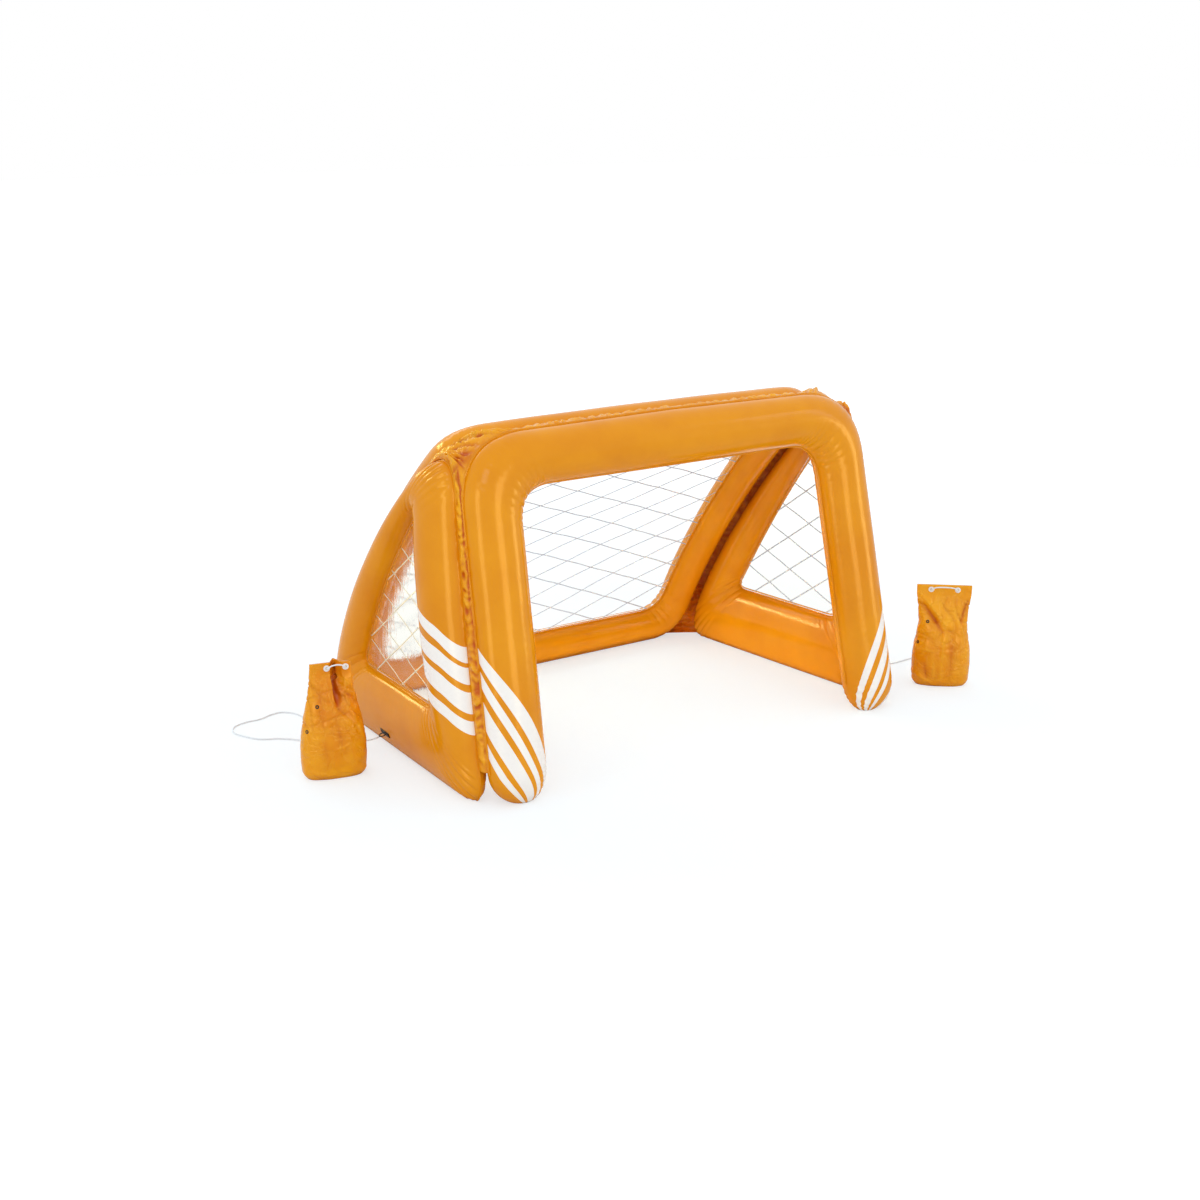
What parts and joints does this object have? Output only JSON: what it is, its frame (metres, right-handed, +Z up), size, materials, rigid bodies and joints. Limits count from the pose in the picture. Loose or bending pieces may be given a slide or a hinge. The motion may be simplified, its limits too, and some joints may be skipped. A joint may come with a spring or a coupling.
{
  "type": "inflatable pool goal",
  "caption": "Free-standing inflatable water polo goal in glossy orange vinyl, with clear net-printed back and side windows and corded anchor bags.",
  "frame": {"origin": "the middle of the footprint of the goal and its two anchor bags, on the floor that they stand on; the free tether cords are not counted", "axes": "+X runs along the goal line to the right as a shooter faces the mouth, +Y from the mouth to the back, +Z up"},
  "size_m": [1.8335, 0.907, 0.8143],
  "materials": {
    "orange_vinyl": "glossy inflated vinyl",
    "bag_vinyl": "soft vinyl with a slight sheen",
    "weld_vinyl": "crinkled welded vinyl",
    "clear_vinyl": "clear flexible vinyl film",
    "white_print": "printed white lines",
    "valve_vinyl": "soft translucent vinyl",
    "white_plastic": "moulded plastic",
    "black_plastic": "moulded plastic",
    "white_cord": "braided cord"
  },
  "bodies": {
    "goal": {"front_frame": "orange_vinyl", "back_ring": "orange_vinyl", "side_ring_right": "orange_vinyl", "side_ring_left": "orange_vinyl", "back_film": "clear_vinyl", "side_film_right": "clear_vinyl", "side_film_left": "clear_vinyl", "back_net": "white_print", "side_net_right": "white_print", "side_net_left": "white_print", "front_seam_right": "weld_vinyl", "front_seam_left": "weld_vinyl", "rear_seam_right": "weld_vinyl", "rear_seam_left": "weld_vinyl", "top_seam": "weld_vinyl", "corner_gusset_right": "weld_vinyl", "corner_gusset_left": "weld_vinyl", "rear_gusset_right": "weld_vinyl", "rear_gusset_left": "weld_vinyl", "front_frame_valve": "valve_vinyl", "side_ring_left_valve": "valve_vinyl", "side_ring_right_valve": "valve_vinyl", "back_ring_valve": "valve_vinyl", "tether_loop_right": "black_plastic", "tether_loop_left": "black_plastic", "tether_cord_left": "white_cord", "tether_cord_right": "white_cord"},
    "bag_left": {"anchor_bag_left": "bag_vinyl", "grommet_left_front_1": "white_plastic", "grommet_left_back_1": "white_plastic", "grommet_left_front_2": "white_plastic", "grommet_left_back_2": "white_plastic", "handle_cord_left": "white_cord", "eyelet_left_upper": "black_plastic", "eyelet_left_lower": "black_plastic"},
    "bag_right": {"anchor_bag_right": "bag_vinyl", "grommet_right_front_1": "white_plastic", "grommet_right_back_1": "white_plastic", "grommet_right_front_2": "white_plastic", "grommet_right_back_2": "white_plastic", "handle_cord_right": "white_cord", "eyelet_right_upper": "black_plastic", "eyelet_right_lower": "black_plastic"},
    "front_frame_cap": {"front_frame_valve_cap": "valve_vinyl"},
    "side_ring_left_cap": {"side_ring_left_valve_cap": "valve_vinyl"},
    "side_ring_right_cap": {"side_ring_right_valve_cap": "valve_vinyl"},
    "back_ring_cap": {"back_ring_valve_cap": "valve_vinyl"}
  },
  "joints": [
    {"name": "front_frame_cap_hinge", "type": "hinge", "parent": "goal", "child": "front_frame_cap", "pos_m": [-0.52901, -0.28769, 0.26327], "axis": [0.9994, -0.0071, -0.0334], "range_deg": [0, 150]},
    {"name": "side_ring_left_cap_hinge", "type": "hinge", "parent": "goal", "child": "side_ring_left_cap", "pos_m": [-0.55222, -0.04636, 0.08068], "axis": [0.0939, -0.0057, -0.9956], "range_deg": [0, 150]},
    {"name": "side_ring_right_cap_hinge", "type": "hinge", "parent": "goal", "child": "side_ring_right_cap", "pos_m": [0.64594, -0.03986, 0.08132], "axis": [-0.0939, -0.0057, -0.9956], "range_deg": [0, 150]},
    {"name": "back_ring_cap_hinge", "type": "hinge", "parent": "goal", "child": "back_ring_cap", "pos_m": [-0.35244, 0.45053, 0.05493], "axis": [0, -0.218, 0.9759], "range_deg": [0, 150]},
    {"name": "bag_left_lift", "type": "slide", "parent": "goal", "child": "bag_left", "axis": [0, 0, 1], "range_m": [0, 0.25]},
    {"name": "bag_right_lift", "type": "slide", "parent": "goal", "child": "bag_right", "axis": [0, 0, 1], "range_m": [0, 0.25]}
  ]
}
